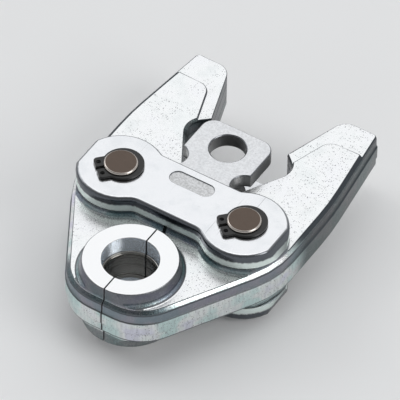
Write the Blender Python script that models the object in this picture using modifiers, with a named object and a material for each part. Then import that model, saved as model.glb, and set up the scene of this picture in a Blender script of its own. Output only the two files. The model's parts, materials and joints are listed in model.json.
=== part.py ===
"""Pressing jaw for a pipe press tool.

Two forged jaws swing on pins between a pair of T-shaped side plates. Their
noses close round a fitting, and rollers of the press drive push on the cams
inside their legs. A coil spring between the jaws keeps the noses shut.
Metres, +Z up. The bore axis is vertical and the legs point along +Y.
"""

import math

import bmesh
import bpy
from mathutils import Matrix, Vector

# Pivots
PIN_SPACING = 0.0545
PIN_BEHIND_BORE = 0.0357
PIN_RADIUS = 0.0065
PIN_CHAMFER = 0.0005
PIN_PAST_RING = 0.0008
FIT_GAP = 0.0003

# Press bore and the raised ring round it
BORE_RADIUS = 0.0109
BORE_CHAMFER = 0.0006
BORE_END_FROM_BEAD = 0.0008
CONTOUR_RADIUS = 0.0105
CONTOUR_CORNER = 0.0004
CONTOUR_CORNER_DEPTH = 0.0001
BEAD_FROM_MIDDLE = 0.0053
BEAD_HALF_WIDTH = 0.0012
BEAD_RISE = 0.0005
MIDDLE_RIB_HALF_WIDTH = 0.0009
MIDDLE_RIB_RISE = 0.0002
RING_RADIUS = 0.0184
RING_HALF_HEIGHT = 0.0142
RING_DRAFT = 0.0007
RING_FILLET = 0.0022
RING_EDGE = 0.0004

# Jaw bodies
JAW_HALF_THICKNESS = 0.0085
NOSE_FRONT = 0.0195
NOSE_CORNER_RADIUS = 0.0195
FLANK_ANGLE = math.radians(60.0)
FLANK_FROM_BORE = 0.02395
SIDE_WALL_FROM_PIN = 0.01825
SHOULDER_RADIUS = 0.037
LEG_PAST_PIN = 0.0744
TIP_TAPER = math.radians(7.0)
TIP_OUTER_FROM_PIN = 0.01325
TIP_OUTER_RADIUS = 0.0015
TIP_BEND_RADIUS = 0.120
TIP_INNER_RADIUS = 0.0065
CAM_ANGLE = math.radians(71.8)
CAM_FOOT_PAST_PIN = 0.0474
CAM_TAB_GAP = 0.0019
CAM_FOOT_RADIUS = 0.0008
SCOOP_PAST_PIN = 0.0411
SCOOP_DEPTH = 0.0072
SCOOP_RADIUS = 0.0072
SCOOP_ANGLE = math.radians(60.0)
SCOOP_SLOPE_WIDTH = 0.0010
EDGE_SLOPE_WIDTH = 0.0015
EDGE_SLOPE_HEIGHT = 0.0015
FLASH_BAND_HALF_HEIGHT = 0.0026
FLASH_BAND_PROUD = 0.0005
MILLED_STEP_DEPTH = 0.0008
MILLED_STEP_FROM_TIP = 0.0129
MILLED_RIM_WIDTH = 0.0051
MILLED_STEP_RADIUS = 0.0055

# Parting line between the jaws
PARTING_GAP = 0.0004
RELIEF_GAP = 0.0015
RELIEF_FROM_BORE = 0.0200
REAR_SHOULDER_PAST_PIN = 0.0131
REAR_SHOULDER_HALF_GAP = 0.0034
REAR_SHOULDER_RADIUS = 0.0015

# Side plates and the pads that they bear on
PLATE_THICKNESS = 0.0067
PAD_HEIGHT = 0.0020
PAD_FILLET = 0.0023
LOBE_RADIUS = 0.0170
LOBE_FLAT_FROM_PIN = 0.01665
LOBE_FLAT_SLOPE = 0.0011
PLATE_FRONT_FROM_PIN = 0.0117
PLATE_REAR_FROM_PIN = 0.0140
FRONT_BLEND_RADIUS = 0.0070
REAR_BLEND_RADIUS = 0.0025
PLATE_EDGE_WIDTH = 0.0014
PLATE_EDGE_HEIGHT = 0.0019
TAB_THICKNESS = 0.0060
TAB_HALF_WIDTH = 0.0150
TAB_PAST_PIN = 0.0428
TAB_CORNER_RADIUS = 0.0055
TAB_EDGE = 0.0006
TAB_HOLE_RADIUS = 0.0071
TAB_HOLE_PAST_PIN = 0.0319
TAB_HOLE_CHAMFER = 0.0004
TAB_LOW_FACE_PAST_PIN = 0.0158
NOTCH_RADIUS = 0.0056
NOTCH_CENTRE_X = 0.0159
NOTCH_PAST_PIN = 0.0187
RECESS_LENGTH = 0.0188
RECESS_WIDTH = 0.0066
RECESS_END_RADIUS = 0.0032
RECESS_DEPTH = 0.0004
RECESS_PAST_PIN = 0.0067

# Retaining rings
CLIP_THICKNESS = 0.0010
CLIP_OUTER_RADIUS = 0.0080
CLIP_OFFSET = 0.0009
CLIP_SEAT = 0.0006
CLIP_LUG_ANGLE = math.radians(227.0)
CLIP_LUG_REACH = 0.0096
CLIP_LUG_WIDTH = 0.0047
CLIP_LUG_CORNER = 0.0016
CLIP_LUG_HOLE_RADIUS = 0.0009
CLIP_LUG_HOLE_REACH = 0.0079
CLIP_GAP = 0.0013

# Closing spring
SPRING_RADIUS = 0.0033
SPRING_WIRE_RADIUS = 0.0006
SPRING_TURNS = 7
SPRING_CLOSED_TURNS = 2
SPRING_CLOSED_GAP = 0.00006
SPRING_KNOTS_PER_TURN = 12
SPRING_PAST_PIN = 0.0073
SPRING_POCKET_DEPTH = 0.0115
SPRING_POCKET_GAP = 0.0004

# Facets and fineness
TURNED_STEPS = 64
PIN_STEPS = 36
CLIP_STEPS = 40
NOTCH_STEPS = 32
POCKET_STEPS = 24
LUG_HOLE_STEPS = 12
WIRE_FACETS = 2
ARC_STEP = math.radians(9.0)
SHARP_ANGLE = math.radians(30.0)
FLAT_ANGLE = math.radians(1.0)
SAME_POINT = 1e-6
SLIVER = 2e-6

# Places worked out from the sizes above
PIN_X = PIN_SPACING / 2
PIN_Y = PIN_BEHIND_BORE
PAD_TOP = JAW_HALF_THICKNESS + PAD_HEIGHT
PLATE_BOTTOM = PAD_TOP + FIT_GAP
PLATE_TOP = PLATE_BOTTOM + PLATE_THICKNESS
TAB_BOTTOM = JAW_HALF_THICKNESS + FIT_GAP
TAB_TOP = TAB_BOTTOM + TAB_THICKNESS
CLIP_BOTTOM = PLATE_TOP + FIT_GAP
CLIP_TOP = CLIP_BOTTOM + CLIP_THICKNESS
PIN_END = CLIP_TOP + FIT_GAP + PIN_PAST_RING
TIP_Y = PIN_Y + LEG_PAST_PIN
CAM_FOOT_X = TAB_HALF_WIDTH + CAM_TAB_GAP
CENTRE_Y = (TIP_Y - NOSE_FRONT - FLASH_BAND_PROUD) / 2
ABOVE_ALL = PIN_END + 0.005


def clear_scene():
    for old in list(bpy.data.objects):
        bpy.data.objects.remove(old, do_unlink=True)


def make_collection(name):
    collection = bpy.data.collections.new(name)
    bpy.context.scene.collection.children.link(collection)
    return collection


def make_material(name, colour, roughness, metallic):
    material = bpy.data.materials.new(name)
    material.use_nodes = True
    shader = material.node_tree.nodes["Principled BSDF"]
    shader.inputs["Base Color"].default_value = (*colour, 1.0)
    shader.inputs["Roughness"].default_value = roughness
    shader.inputs["Metallic"].default_value = metallic
    return material


def direction(angle):
    return Vector((math.cos(angle), math.sin(angle)))


def meet(point_a, angle_a, point_b, angle_b):
    """Crossing of two lines, each given by a point and an angle."""
    along_a, along_b = direction(angle_a), direction(angle_b)
    between = point_b - point_a
    reach = between.cross(along_b) / along_a.cross(along_b)
    return point_a + along_a * reach


def round_corners(corners):
    """Outline through (point, radius) corners, each rounded by an arc."""
    points = []
    for index, (corner, radius) in enumerate(corners):
        if radius == 0.0:
            points.append(corner)
            continue
        to_last = (corners[index - 1][0] - corner).normalized()
        to_next = (corners[(index + 1) % len(corners)][0] - corner).normalized()
        opening = to_last.angle(to_next)
        centre = corner + (to_last + to_next).normalized() * radius / math.sin(opening / 2)
        start = corner + to_last * radius / math.tan(opening / 2) - centre
        turn = math.pi - opening
        if to_last.cross(to_next) > 0.0:
            turn = -turn
        steps = max(2, round(abs(turn) / ARC_STEP))
        for step in range(steps + 1):
            arm = Matrix.Rotation(turn * step / steps, 2) @ start
            points.append(centre + arm)
    return points


def rectangle(left, right, front, rear):
    """Corners of a rectangle, anticlockwise from its front left."""
    return [Vector((left, front)), Vector((right, front)), Vector((right, rear)), Vector((left, rear))]


def arc(centre, radius, start, end, steps):
    turns = (start + (end - start) * step / steps for step in range(steps + 1))
    return [centre + direction(turn) * radius for turn in turns]


def add_object(name, mesh, collection):
    item = bpy.data.objects.new(name, mesh)
    collection.objects.link(item)
    return item


def add_cutter(name, mesh):
    cutter = add_object(name, mesh, CUTTERS)
    cutter.hide_render = True
    cutter.display_type = "WIRE"
    return cutter


def mesh_from_bmesh(name, shape):
    bmesh.ops.recalc_face_normals(shape, faces=shape.faces)
    mesh = bpy.data.meshes.new(name)
    shape.to_mesh(mesh)
    shape.free()
    return mesh


def prism(name, outline, low, high):
    """A flat outline given thickness from low to high along Z."""
    curve = bpy.data.curves.new(name, "CURVE")
    curve.dimensions = "2D"
    curve.fill_mode = "BOTH"
    curve.extrude = (high - low) / 2
    spline = curve.splines.new("POLY")
    spline.points.add(len(outline) - 1)
    for knot, point in zip(spline.points, outline):
        knot.co = (point.x, point.y, 0.0, 1.0)
    spline.use_cyclic_u = True
    guide = add_object(name, curve, CUTTERS)
    guide.location.z = (high + low) / 2
    bpy.context.view_layer.update()
    evaluated = guide.evaluated_get(bpy.context.evaluated_depsgraph_get())
    mesh = bpy.data.meshes.new_from_object(evaluated)
    mesh.transform(guide.matrix_world)
    bpy.data.objects.remove(guide, do_unlink=True)
    shape = bmesh.new()
    shape.from_mesh(mesh)
    bmesh.ops.remove_doubles(shape, verts=shape.verts, dist=SAME_POINT)
    bpy.data.meshes.remove(mesh)
    return mesh_from_bmesh(name, shape)


def loft(name, levels):
    """Solid through outlines of equal point count, as (height, outline)."""
    shape = bmesh.new()
    loops = []
    for height, outline in levels:
        loops.append([shape.verts.new((point.x, point.y, height)) for point in outline])
    for lower, upper in zip(loops, loops[1:]):
        for index in range(len(lower)):
            after = (index + 1) % len(lower)
            shape.faces.new((lower[index], lower[after], upper[after], upper[index]))
    shape.faces.new(reversed(loops[0]))
    shape.faces.new(loops[-1])
    return mesh_from_bmesh(name, shape)


def turned(name, profile, steps=TURNED_STEPS):
    """Solid of revolution about Z from (radius, height) points, top to bottom."""
    mesh = bpy.data.meshes.new(name)
    points = [(radius, 0.0, height) for radius, height in profile]
    mesh.from_pydata(points, [(i, i + 1) for i in range(len(points) - 1)], [])
    guide = add_object(name, mesh, CUTTERS)
    screw = guide.modifiers.new("turn", "SCREW")
    screw.steps = steps
    screw.render_steps = steps
    screw.use_merge_vertices = True
    screw.merge_threshold = SAME_POINT
    bpy.context.view_layer.update()
    evaluated = guide.evaluated_get(bpy.context.evaluated_depsgraph_get())
    solid = bpy.data.meshes.new_from_object(evaluated)
    solid.name = name
    bpy.data.objects.remove(guide, do_unlink=True)
    return solid


def cylinder(name, radius, low, high, steps=PIN_STEPS):
    return turned(name, [(0.0, high), (radius, high), (radius, low), (0.0, low)], steps)


def combine(item, tool, operation):
    """Boolean of an object with a tool, applied at once."""
    modifier = item.modifiers.new(tool.name, "BOOLEAN")
    modifier.operation = operation
    modifier.object = tool
    bpy.context.view_layer.update()
    evaluated = item.evaluated_get(bpy.context.evaluated_depsgraph_get())
    result = bpy.data.meshes.new_from_object(evaluated)
    item.modifiers.clear()
    item.data = result


def tidy_mesh(mesh):
    """Merge the slivers that booleans leave and shade curved faces smooth."""
    shape = bmesh.new()
    shape.from_mesh(mesh)
    bmesh.ops.remove_doubles(shape, verts=shape.verts, dist=SLIVER)
    bmesh.ops.dissolve_degenerate(shape, edges=shape.edges, dist=SAME_POINT)
    shape.to_mesh(mesh)
    shape.free()
    mesh.shade_smooth()
    mesh.set_sharp_from_angle(angle=SHARP_ANGLE)


def jaw_outline(inset):
    """Plan of the right jaw, its outer side and its scoop drawn in by inset."""
    half_gap = PARTING_GAP / 2
    flank_normal = direction(FLANK_ANGLE - math.pi / 2)
    front = Vector((0.0, inset - NOSE_FRONT))
    flank = flank_normal * (FLANK_FROM_BORE - inset)
    side = Vector((PIN_X + SIDE_WALL_FROM_PIN - inset, 0.0))
    taper_angle = math.pi / 2 + TIP_TAPER
    tip_corner = Vector((PIN_X + TIP_OUTER_FROM_PIN, TIP_Y))
    taper = tip_corner + direction(taper_angle + math.pi / 2) * inset
    cam_foot = Vector((CAM_FOOT_X, PIN_Y + CAM_FOOT_PAST_PIN))
    scoop = Vector((CAM_FOOT_X + SCOOP_DEPTH, PIN_Y + SCOOP_PAST_PIN))
    foot_run = scoop - cam_foot
    foot_angle = math.atan2(foot_run.y, foot_run.x)
    hollow = max(inset, 0.0) * SCOOP_SLOPE_WIDTH / EDGE_SLOPE_WIDTH
    foot = cam_foot + direction(foot_angle + math.pi / 2) * hollow
    back = scoop + direction(SCOOP_ANGLE - math.pi / 2) * hollow
    rear = Vector((0.0, PIN_Y + REAR_SHOULDER_PAST_PIN))
    across, upright = 0.0, math.pi / 2
    return round_corners([
        (Vector((half_gap, front.y)), 0.0),
        (meet(front, across, flank, FLANK_ANGLE), NOSE_CORNER_RADIUS - inset),
        (meet(flank, FLANK_ANGLE, side, upright), SHOULDER_RADIUS - inset),
        (meet(side, upright, taper, taper_angle), TIP_BEND_RADIUS - inset),
        (meet(taper, taper_angle, tip_corner, across), TIP_OUTER_RADIUS),
        (meet(tip_corner, across, cam_foot, CAM_ANGLE), TIP_INNER_RADIUS),
        (meet(cam_foot, CAM_ANGLE, foot, foot_angle), CAM_FOOT_RADIUS),
        (meet(foot, foot_angle, back, SCOOP_ANGLE), SCOOP_RADIUS + hollow),
        (meet(back, SCOOP_ANGLE, rear, across), REAR_SHOULDER_RADIUS),
        (Vector((REAR_SHOULDER_HALF_GAP, rear.y)), REAR_SHOULDER_RADIUS),
        (Vector((RELIEF_GAP / 2, PIN_Y - FIT_GAP)), 0.0),
        (Vector((RELIEF_GAP / 2, RELIEF_FROM_BORE + RELIEF_GAP)), 0.0),
        (Vector((half_gap, RELIEF_FROM_BORE)), 0.0),
    ])


def dogbone_outline(grow, flat):
    """Plan of two lobes and the bar between, grown outward and cut off at the sides."""
    lobe = LOBE_RADIUS + grow
    front_y = PIN_Y - PLATE_FRONT_FROM_PIN - grow
    rear_y = PIN_Y + PLATE_REAR_FROM_PIN + grow
    front_blend = FRONT_BLEND_RADIUS - grow
    rear_blend = REAR_BLEND_RADIUS - grow
    pin = Vector((PIN_X, PIN_Y))
    front_drop = PIN_Y - front_y + front_blend
    front_run = math.sqrt((lobe + front_blend) ** 2 - front_drop ** 2)
    rear_rise = rear_y - PIN_Y + rear_blend
    rear_run = math.sqrt((lobe + rear_blend) ** 2 - rear_rise ** 2)
    front_centre = pin + Vector((-front_run, -front_drop))
    rear_centre = pin + Vector((-rear_run, rear_rise))
    front_angle = math.atan2(front_drop, front_run)
    rear_angle = math.atan2(rear_rise, rear_run)
    flat_angle = math.acos(flat / lobe)
    right = arc(front_centre, front_blend, math.pi / 2, front_angle, 5)
    right += arc(pin, lobe, front_angle - math.pi, -flat_angle, 11)[1:]
    right += arc(pin, lobe, flat_angle, math.pi - rear_angle, 10)
    right += arc(rear_centre, rear_blend, -rear_angle, -math.pi / 2, 4)[1:]
    left = [Vector((-point.x, point.y)) for point in reversed(right)]
    return right + left


def edge_levels(top, width, height, steps=3):
    """Quarter-ellipse rounding below a top face, as (height, inset) pairs."""
    levels = []
    for step in range(steps + 1):
        turn = math.pi / 2 * step / steps
        levels.append((top - height * (1 - math.sin(turn)), width * (1 - math.cos(turn))))
    return levels


def ring_profile():
    """Half section of the raised rings at both ends of the bore."""
    foot = RING_RADIUS + RING_DRAFT
    fillet_top = JAW_HALF_THICKNESS + RING_FILLET
    upper = [(0.0, RING_HALF_HEIGHT), (RING_RADIUS - RING_EDGE, RING_HALF_HEIGHT),
             (RING_RADIUS, RING_HALF_HEIGHT - RING_EDGE)]
    for step in range(4):
        turn = math.pi / 2 * step / 3
        out = RING_FILLET * (1 - math.cos(turn))
        upper.append((foot + out, fillet_top - RING_FILLET * math.sin(turn)))
    return upper + [(radius, -height) for radius, height in reversed(upper)]


def rib(middle, half_width, rise):
    """Rounded rib of the press contour, as (radius, height) from top to bottom."""
    turns = [math.pi * step / 4 for step in range(5)]
    return [(CONTOUR_RADIUS - rise * math.sin(turn), middle + half_width * math.cos(turn))
            for turn in turns]


def bore_profile():
    """Half section of the press contour: mouths, end beads and middle rib."""
    mouth = RING_HALF_HEIGHT + FIT_GAP
    foot = BEAD_FROM_MIDDLE + BEAD_HALF_WIDTH
    upper = [(0.0, mouth), (BORE_RADIUS + BORE_CHAMFER + FIT_GAP, mouth),
             (BORE_RADIUS, RING_HALF_HEIGHT - BORE_CHAMFER),
             (BORE_RADIUS, foot + BORE_END_FROM_BEAD),
             (CONTOUR_RADIUS + CONTOUR_CORNER_DEPTH, foot + CONTOUR_CORNER)]
    upper += rib(BEAD_FROM_MIDDLE, BEAD_HALF_WIDTH, BEAD_RISE)
    middle = rib(0.0, MIDDLE_RIB_HALF_WIDTH, MIDDLE_RIB_RISE)
    return upper + middle + [(radius, -height) for radius, height in reversed(upper)]


def jaw_blank():
    """Forged shape of a jaw: flash band, drafted edge, pads and rings."""
    slope_start = JAW_HALF_THICKNESS - EDGE_SLOPE_HEIGHT
    upper = [(FLASH_BAND_HALF_HEIGHT, -FLASH_BAND_PROUD),
             (FLASH_BAND_HALF_HEIGHT + FLASH_BAND_PROUD, 0.0),
             (slope_start, 0.0), (JAW_HALF_THICKNESS, EDGE_SLOPE_WIDTH),
             (ABOVE_ALL, EDGE_SLOPE_WIDTH)]
    levels = [(-height, inset) for height, inset in reversed(upper)] + upper
    outlines = [(height, jaw_outline(inset)) for height, inset in levels]
    footprint = add_cutter("jaw_footprint", loft("jaw_footprint", outlines))

    reach = TIP_Y + NOSE_FRONT
    slab = rectangle(-reach, reach, CENTRE_Y - reach, CENTRE_Y + reach)
    blank = add_cutter("jaw_blank", prism("jaw_blank", slab, -JAW_HALF_THICKNESS, JAW_HALF_THICKNESS))
    fillet = []
    foot, rise = JAW_HALF_THICKNESS - FIT_GAP, PAD_HEIGHT + FIT_GAP
    for step in range(4):
        turn = math.pi / 2 * step / 3
        fillet.append((foot + rise * (1 - math.cos(turn)), PAD_FILLET * (1 - math.sin(turn))))
    skirt_levels = [(-height, grow) for height, grow in reversed(fillet)] + fillet
    outlines = [(height, dogbone_outline(grow, LOBE_FLAT_FROM_PIN + grow))
                for height, grow in skirt_levels]
    skirt = add_cutter("pad_skirt", loft("pad_skirt", outlines))
    front = rectangle(-reach, reach, -reach, PIN_Y)
    combine(skirt, add_cutter("skirt_front", prism("skirt_front", front, -ABOVE_ALL, ABOVE_ALL)), "INTERSECT")
    lobes = dogbone_outline(0.0, LOBE_FLAT_FROM_PIN)
    pad = add_cutter("pivot_pad", prism("pivot_pad", lobes, -PAD_TOP, PAD_TOP))
    combine(pad, skirt, "UNION")
    rings = add_cutter("bore_rings", turned("bore_rings", ring_profile()))
    combine(blank, pad, "UNION")
    combine(blank, rings, "UNION")
    combine(blank, footprint, "INTERSECT")
    return blank


def milled_step_outline():
    """Plan of the lowered rim along the cam and across the leg's tip."""
    line_y = TIP_Y - MILLED_STEP_FROM_TIP
    cam_foot = Vector((CAM_FOOT_X, PIN_Y + CAM_FOOT_PAST_PIN))
    shifted = cam_foot + direction(CAM_ANGLE - math.pi / 2) * MILLED_RIM_WIDTH
    line = Vector((0.0, line_y))
    bend = meet(shifted, CAM_ANGLE, line, 0.0)
    outside = PIN_X + SHOULDER_RADIUS
    foot = shifted - direction(CAM_ANGLE) * MILLED_RIM_WIDTH
    beyond = TIP_Y + MILLED_RIM_WIDTH
    return round_corners([(Vector((outside, line_y)), 0.0), (Vector((outside, beyond)), 0.0),
                          (Vector((0.0, beyond)), 0.0), (Vector((0.0, foot.y)), 0.0),
                          (foot, 0.0), (bend, MILLED_STEP_RADIUS)])


def make_jaw(name, side, finish):
    """One jaw, its origin on its pivot. side is 1 for right, -1 for left."""
    jaw = jaw_blank()
    bore = add_cutter("press_contour", turned("press_contour", bore_profile()))
    pin_hole = add_cutter("pin_hole", cylinder("pin_hole", PIN_RADIUS + FIT_GAP, -PIN_END, PIN_END))
    pin_hole.location = (PIN_X, PIN_Y, 0.0)
    pocket_radius = SPRING_RADIUS + SPRING_WIRE_RADIUS + SPRING_POCKET_GAP
    pocket_mesh = cylinder("spring_pocket", pocket_radius, -SPRING_POCKET_DEPTH, SPRING_POCKET_DEPTH,
                           POCKET_STEPS)
    pocket = add_cutter("spring_pocket", pocket_mesh)
    pocket.rotation_euler.y = math.pi / 2
    pocket.location.y = PIN_Y + SPRING_PAST_PIN
    floor = JAW_HALF_THICKNESS - MILLED_STEP_DEPTH
    rim = milled_step_outline()
    top_step = add_cutter("upper_milled_step", prism("milled_step", rim, floor, ABOVE_ALL))
    low_step = add_cutter("lower_milled_step", prism("milled_step", rim, -ABOVE_ALL, -floor))
    for tool in (bore, pin_hole, pocket, top_step, low_step):
        combine(jaw, tool, "DIFFERENCE")
    mesh = jaw.data
    mesh.name = name
    mesh.transform(Matrix.Translation((-PIN_X, -PIN_Y, 0.0)))
    if side < 0:
        mesh.transform(Matrix.Scale(-1.0, 4, Vector((1.0, 0.0, 0.0))))
        mesh.flip_normals()
    tidy_mesh(mesh)
    mesh.materials.clear()
    mesh.materials.append(finish)
    bpy.data.objects.remove(jaw, do_unlink=True)
    item = add_object(name, mesh, PARTS)
    item.location = (side * PIN_X, PIN_Y, 0.0)
    return item


def make_tab():
    """The tab that takes the press drive's locking pin, lower than its plate."""
    root_y = PIN_Y + PLATE_REAR_FROM_PIN / 2
    rear_y = PIN_Y + TAB_PAST_PIN
    outline = round_corners([
        (Vector((-TAB_HALF_WIDTH, root_y)), 0.0), (Vector((TAB_HALF_WIDTH, root_y)), 0.0),
        (Vector((TAB_HALF_WIDTH, rear_y)), TAB_CORNER_RADIUS),
        (Vector((-TAB_HALF_WIDTH, rear_y)), TAB_CORNER_RADIUS)])
    tab = add_cutter("tab", prism("tab", outline, TAB_BOTTOM, TAB_TOP))
    for side in (-1, 1):
        notch = add_cutter("tab_notch", cylinder("tab_notch", NOTCH_RADIUS, 0.0, ABOVE_ALL, NOTCH_STEPS))
        notch.location = (side * NOTCH_CENTRE_X, PIN_Y + NOTCH_PAST_PIN, 0.0)
        combine(tab, notch, "DIFFERENCE")
    soften_top_edge(tab.data, TAB_TOP, TAB_EDGE)
    low_y = PIN_Y + TAB_LOW_FACE_PAST_PIN
    wide = PIN_X + LOBE_RADIUS
    under = rectangle(-wide, wide, 0.0, low_y)
    relief = add_cutter("tab_relief", prism("tab_relief", under, 0.0, PLATE_BOTTOM + FIT_GAP))
    combine(tab, relief, "DIFFERENCE")
    return tab


def soften_top_edge(mesh, top, width):
    """Bevel the boundary of the top face."""
    shape = bmesh.new()
    shape.from_mesh(mesh)
    bmesh.ops.dissolve_limit(shape, angle_limit=FLAT_ANGLE, verts=shape.verts, edges=shape.edges)
    rim = [edge for edge in shape.edges
           if all(abs(vert.co.z - top) < SAME_POINT for vert in edge.verts)
           and any(abs(face.normal.z) < 0.5 for face in edge.link_faces)]
    bmesh.ops.bevel(shape, geom=rim, offset=width, segments=2, profile=0.5, affect="EDGES")
    shape.to_mesh(mesh)
    shape.free()


def make_side_plate(name, side, finish):
    """T-shaped plate. side is 1 for the top plate, -1 for the bottom one."""
    wall_flat = LOBE_FLAT_FROM_PIN - LOBE_FLAT_SLOPE
    levels = [(PLATE_BOTTOM, dogbone_outline(0.0, LOBE_FLAT_FROM_PIN))]
    for height, inset in edge_levels(PLATE_TOP, PLATE_EDGE_WIDTH, PLATE_EDGE_HEIGHT):
        levels.append((height, dogbone_outline(-inset, wall_flat - inset)))
    plate = add_cutter("plate", loft("plate", levels))
    combine(plate, make_tab(), "UNION")
    for pin_side in (-1, 1):
        hole_mesh = cylinder("plate_pin_hole", PIN_RADIUS + FIT_GAP, 0.0, ABOVE_ALL)
        hole = add_cutter("plate_pin_hole", hole_mesh)
        hole.location = (pin_side * PIN_X, PIN_Y, 0.0)
        combine(plate, hole, "DIFFERENCE")
    mouth_radius = TAB_HOLE_RADIUS + TAB_HOLE_CHAMFER + ABOVE_ALL - TAB_TOP
    chamfered = [(0.0, ABOVE_ALL), (mouth_radius, ABOVE_ALL),
                 (TAB_HOLE_RADIUS, TAB_TOP - TAB_HOLE_CHAMFER), (TAB_HOLE_RADIUS, 0.0), (0.0, 0.0)]
    eye = add_cutter("tab_hole", turned("tab_hole", chamfered, PIN_STEPS))
    eye.location.y = PIN_Y + TAB_HOLE_PAST_PIN
    combine(plate, eye, "DIFFERENCE")
    half_length, half_width = RECESS_LENGTH / 2, RECESS_WIDTH / 2
    recess_y = PIN_Y + RECESS_PAST_PIN
    corners = rectangle(-half_length, half_length, recess_y - half_width, recess_y + half_width)
    field = round_corners([(corner, RECESS_END_RADIUS) for corner in corners])
    recess = add_cutter("plate_recess", prism("plate_recess", field, PLATE_TOP - RECESS_DEPTH, ABOVE_ALL))
    combine(plate, recess, "DIFFERENCE")
    mesh = plate.data
    mesh.name = name
    if side < 0:
        mesh.transform(Matrix.Scale(-1.0, 4, Vector((0.0, 0.0, 1.0))))
        mesh.flip_normals()
    tidy_mesh(mesh)
    mesh.materials.clear()
    mesh.materials.append(finish)
    bpy.data.objects.remove(plate, do_unlink=True)
    return add_object(name, mesh, PARTS)


def make_pin(name, side, finish):
    """Headless pivot pin, grooved near both ends for its retaining rings."""
    groove_radius = PIN_RADIUS - CLIP_SEAT
    upper = [(0.0, PIN_END), (PIN_RADIUS - PIN_CHAMFER, PIN_END),
             (PIN_RADIUS, PIN_END - PIN_CHAMFER),
             (PIN_RADIUS, CLIP_TOP + FIT_GAP), (groove_radius, CLIP_TOP + FIT_GAP),
             (groove_radius, CLIP_BOTTOM - FIT_GAP), (PIN_RADIUS, CLIP_BOTTOM - FIT_GAP)]
    profile = upper + [(radius, -height) for radius, height in reversed(upper)]
    pin = add_object(name, turned(name, profile, PIN_STEPS), PARTS)
    pin.location = (side * PIN_X, PIN_Y, 0.0)
    tidy_mesh(pin.data)
    pin.data.materials.append(finish)


def clip_mesh():
    """Open retaining ring, widest opposite its gap, with two drilled lugs."""
    inner = PIN_RADIUS - CLIP_SEAT + FIT_GAP
    ring = add_cutter("clip", cylinder("clip", CLIP_OUTER_RADIUS, 0.0, CLIP_THICKNESS, CLIP_STEPS))
    ring.data.transform(Matrix.Translation((-CLIP_OFFSET, 0.0, 0.0)))
    half_span = CLIP_LUG_WIDTH + CLIP_GAP / 2
    corners = rectangle(0.0, CLIP_LUG_REACH, -half_span, half_span)
    radii = (0.0, CLIP_LUG_CORNER, CLIP_LUG_CORNER, 0.0)
    lugs = round_corners(list(zip(corners, radii)))
    combine(ring, add_cutter("clip_lugs", prism("clip_lugs", lugs, 0.0, CLIP_THICKNESS)), "UNION")
    hole = add_cutter("clip_bore", cylinder("clip_bore", inner, -ABOVE_ALL, ABOVE_ALL, CLIP_STEPS))
    slot = rectangle(0.0, LOBE_RADIUS, -CLIP_GAP / 2, CLIP_GAP / 2)
    gap = add_cutter("clip_gap", prism("clip_gap", slot, -ABOVE_ALL, ABOVE_ALL))
    combine(ring, hole, "DIFFERENCE")
    combine(ring, gap, "DIFFERENCE")
    for side in (-1, 1):
        eye_mesh = cylinder("lug_hole", CLIP_LUG_HOLE_RADIUS, -ABOVE_ALL, ABOVE_ALL, LUG_HOLE_STEPS)
        eye = add_cutter("lug_hole", eye_mesh)
        eye.location = (CLIP_LUG_HOLE_REACH, side * (CLIP_GAP + CLIP_LUG_WIDTH) / 2, 0.0)
        combine(ring, eye, "DIFFERENCE")
    mesh = ring.data
    bpy.data.objects.remove(ring, do_unlink=True)
    tidy_mesh(mesh)
    return mesh


def make_clips(finish):
    """Four retaining rings, at the top and bottom of each pin."""
    shared = clip_mesh()
    shared.materials.clear()
    shared.materials.append(finish)
    for level, height in (("upper", CLIP_BOTTOM), ("lower", -CLIP_TOP)):
        for hand, side in (("left", -1), ("right", 1)):
            clip = add_object(f"{level}_{hand}_retaining_ring", shared, PARTS)
            clip.location = (side * PIN_X, PIN_Y, height)
            clip.rotation_euler.z = CLIP_LUG_ANGLE


def make_spring(finish):
    """Coil spring lying along X, its ends in the jaws' pockets."""
    half_length = SPRING_POCKET_DEPTH - FIT_GAP - SPRING_WIRE_RADIUS
    closed_pitch = SPRING_WIRE_RADIUS * 2 + SPRING_CLOSED_GAP
    open_length = half_length * 2 - closed_pitch * SPRING_CLOSED_TURNS
    pitch = open_length / (SPRING_TURNS - SPRING_CLOSED_TURNS)
    curve = bpy.data.curves.new("closing_spring", "CURVE")
    curve.dimensions = "3D"
    curve.bevel_depth = SPRING_WIRE_RADIUS
    curve.bevel_resolution = WIRE_FACETS
    curve.use_fill_caps = True
    spline = curve.splines.new("POLY")
    knots = SPRING_TURNS * SPRING_KNOTS_PER_TURN + 1
    spline.points.add(knots - 1)
    x = -half_length
    for index in range(knots):
        turn = index / SPRING_KNOTS_PER_TURN
        spline.points[index].co = (x, SPRING_RADIUS * math.cos(math.tau * turn),
                                   SPRING_RADIUS * math.sin(math.tau * turn), 1.0)
        closing = turn < 1 or turn >= SPRING_TURNS - 1
        x += (closed_pitch if closing else pitch) / SPRING_KNOTS_PER_TURN
    guide = add_object("spring_guide", curve, CUTTERS)
    bpy.context.view_layer.update()
    evaluated = guide.evaluated_get(bpy.context.evaluated_depsgraph_get())
    mesh = bpy.data.meshes.new_from_object(evaluated)
    bpy.data.objects.remove(guide, do_unlink=True)
    mesh.name = "closing_spring"
    tidy_mesh(mesh)
    mesh.materials.clear()
    mesh.materials.append(finish)
    spring = add_object("closing_spring", mesh, PARTS)
    spring.location.y = PIN_Y + SPRING_PAST_PIN


def stand_on_pins():
    """Carry every part on one empty, so the lower pin ends stand on Z = 0."""
    carrier = bpy.data.objects.new("tool_jaw", None)
    PARTS.objects.link(carrier)
    carrier.location = (0.0, -CENTRE_Y, PIN_END)
    for item in list(PARTS.objects):
        if item.type == "MESH":
            item.parent = carrier


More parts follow.
